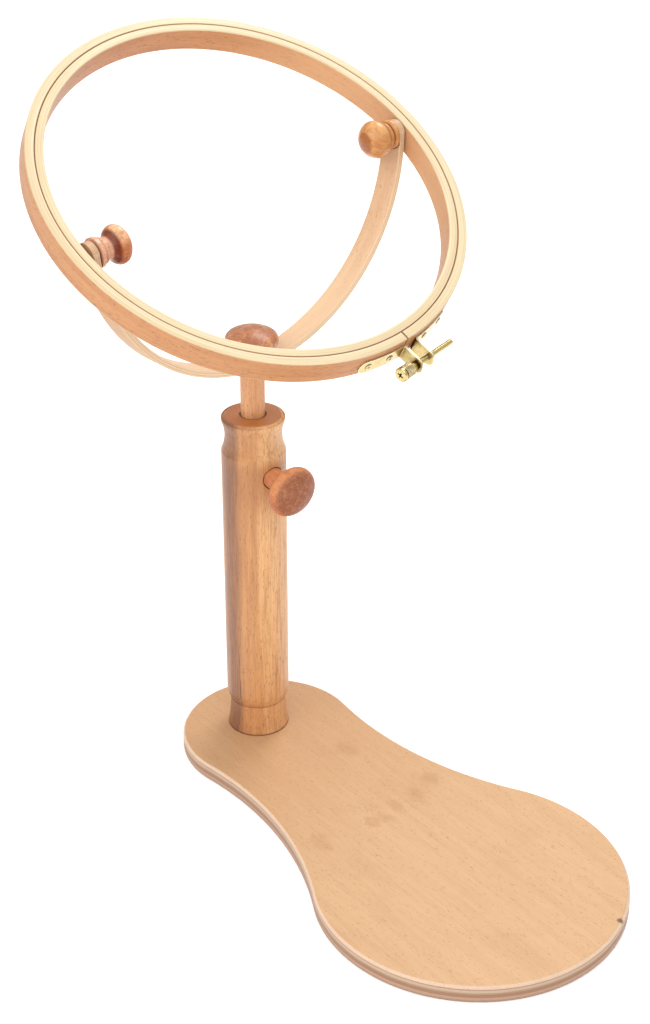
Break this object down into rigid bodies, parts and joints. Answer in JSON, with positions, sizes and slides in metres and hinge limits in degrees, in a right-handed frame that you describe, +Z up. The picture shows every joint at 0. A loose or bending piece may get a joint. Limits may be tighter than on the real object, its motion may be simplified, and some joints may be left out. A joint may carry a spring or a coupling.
{
  "type": "embroidery stand",
  "caption": "Seat-plate embroidery stand: a round two-ring frame tilts in a half-ring yoke, on a sliding clamped rod in a turned wooden column.",
  "frame": {"origin": "on the floor under the column's axis, in the plane of the seat plate's underside", "axes": "+Z up along the column; -Y along the seat plate towards the user, who sits on its large front lobe; +X to the right of the user, who faces the column, which is the side of the right pivot knob"},
  "size_m": [0.2618, 0.4188, 0.4522],
  "materials": {
    "plate_plywood": "clear satin varnish on veneered plywood",
    "column_beech": "clear satin varnish",
    "rod_beech": "clear satin varnish",
    "bent_beech": "bare, sanded, laminated",
    "ring_beech": "clear satin varnish, bent",
    "brown_knob": "reddish brown stain, satin varnish",
    "copper_brown_knob": "copper brown stain, glossy varnish",
    "honey_knob": "honey varnish, glossy",
    "brass": "turned, plain",
    "polished_brass": "polished",
    "steel": "zinc plated"
  },
  "bodies": {
    "column_and_plate": {"base_plate": "plate_plywood", "column": "column_beech", "column_screws": "steel", "clamp_insert": "brass"},
    "clamp_screw": {"clamp_knob": "brown_knob", "clamp_stud": "steel"},
    "rod_and_stud": {"rod": "rod_beech", "yoke_stud": "steel"},
    "yoke_band": {"yoke": "bent_beech"},
    "top_knob_set": {"top_knob": "brown_knob", "top_knob_insert": "brass"},
    "hoop": {"inner_ring": "ring_beech", "pivot_screws": "steel"},
    "left_knob_set": {"left_knob": "copper_brown_knob", "left_knob_insert": "brass"},
    "right_knob_set": {"right_knob": "honey_knob", "right_knob_insert": "brass"},
    "outer_hoop": {"outer_ring": "ring_beech", "left_bracket": "polished_brass", "right_bracket": "polished_brass", "bracket_rivets": "polished_brass"},
    "tension_screw_alone": {"tension_screw": "polished_brass"}
  },
  "joints": [
    {"name": "rod_slide", "type": "slide", "parent": "column_and_plate", "child": "rod_and_stud", "axis": [0, 0, 1], "range_m": [-0.032, 0.07]},
    {"name": "clamp_knob_turn", "type": "hinge", "parent": "column_and_plate", "child": "clamp_screw", "pos_m": [0, -0.02748, 0.20041], "axis": [0, -0.9969, -0.0785], "range_deg": [-180, 180]},
    {"name": "yoke_swivel", "type": "hinge", "parent": "rod_and_stud", "child": "yoke_band", "pos_m": [0, 0, 0.27], "axis": [0, 0, 1], "continuous": true},
    {"name": "top_knob_turn", "type": "hinge", "parent": "rod_and_stud", "child": "top_knob_set", "pos_m": [0, 0, 0.2741], "axis": [0, 0, 1], "range_deg": [-180, 180]},
    {"name": "ring_tilt", "type": "hinge", "parent": "yoke_band", "child": "hoop", "pos_m": [0.00049, 0.00004, 0.37991], "axis": [0.9952, 0.0766, 0.061], "range_deg": [-95, 35]},
    {"name": "left_knob_turn", "type": "hinge", "parent": "hoop", "child": "left_knob_set", "pos_m": [-0.11159, -0.00859, 0.37304], "axis": [0.9952, 0.0766, 0.061], "range_deg": [-180, 180]},
    {"name": "right_knob_turn", "type": "hinge", "parent": "hoop", "child": "right_knob_set", "pos_m": [0.11346, 0.00873, 0.38685], "axis": [-0.9952, -0.0766, -0.061], "range_deg": [-180, 180]},
    {"name": "outer_ring_lift", "type": "slide", "parent": "hoop", "child": "outer_hoop", "axis": [-0.0144, -0.5026, 0.8644], "range_m": [0, 0.024]},
    {"name": "tension_screw_turn", "type": "hinge", "parent": "outer_hoop", "child": "tension_screw_alone", "pos_m": [0.02935, -0.11998, 0.3083], "axis": [0.9778, 0.1736, 0.1172], "range_deg": [-180, 180]}
  ]
}
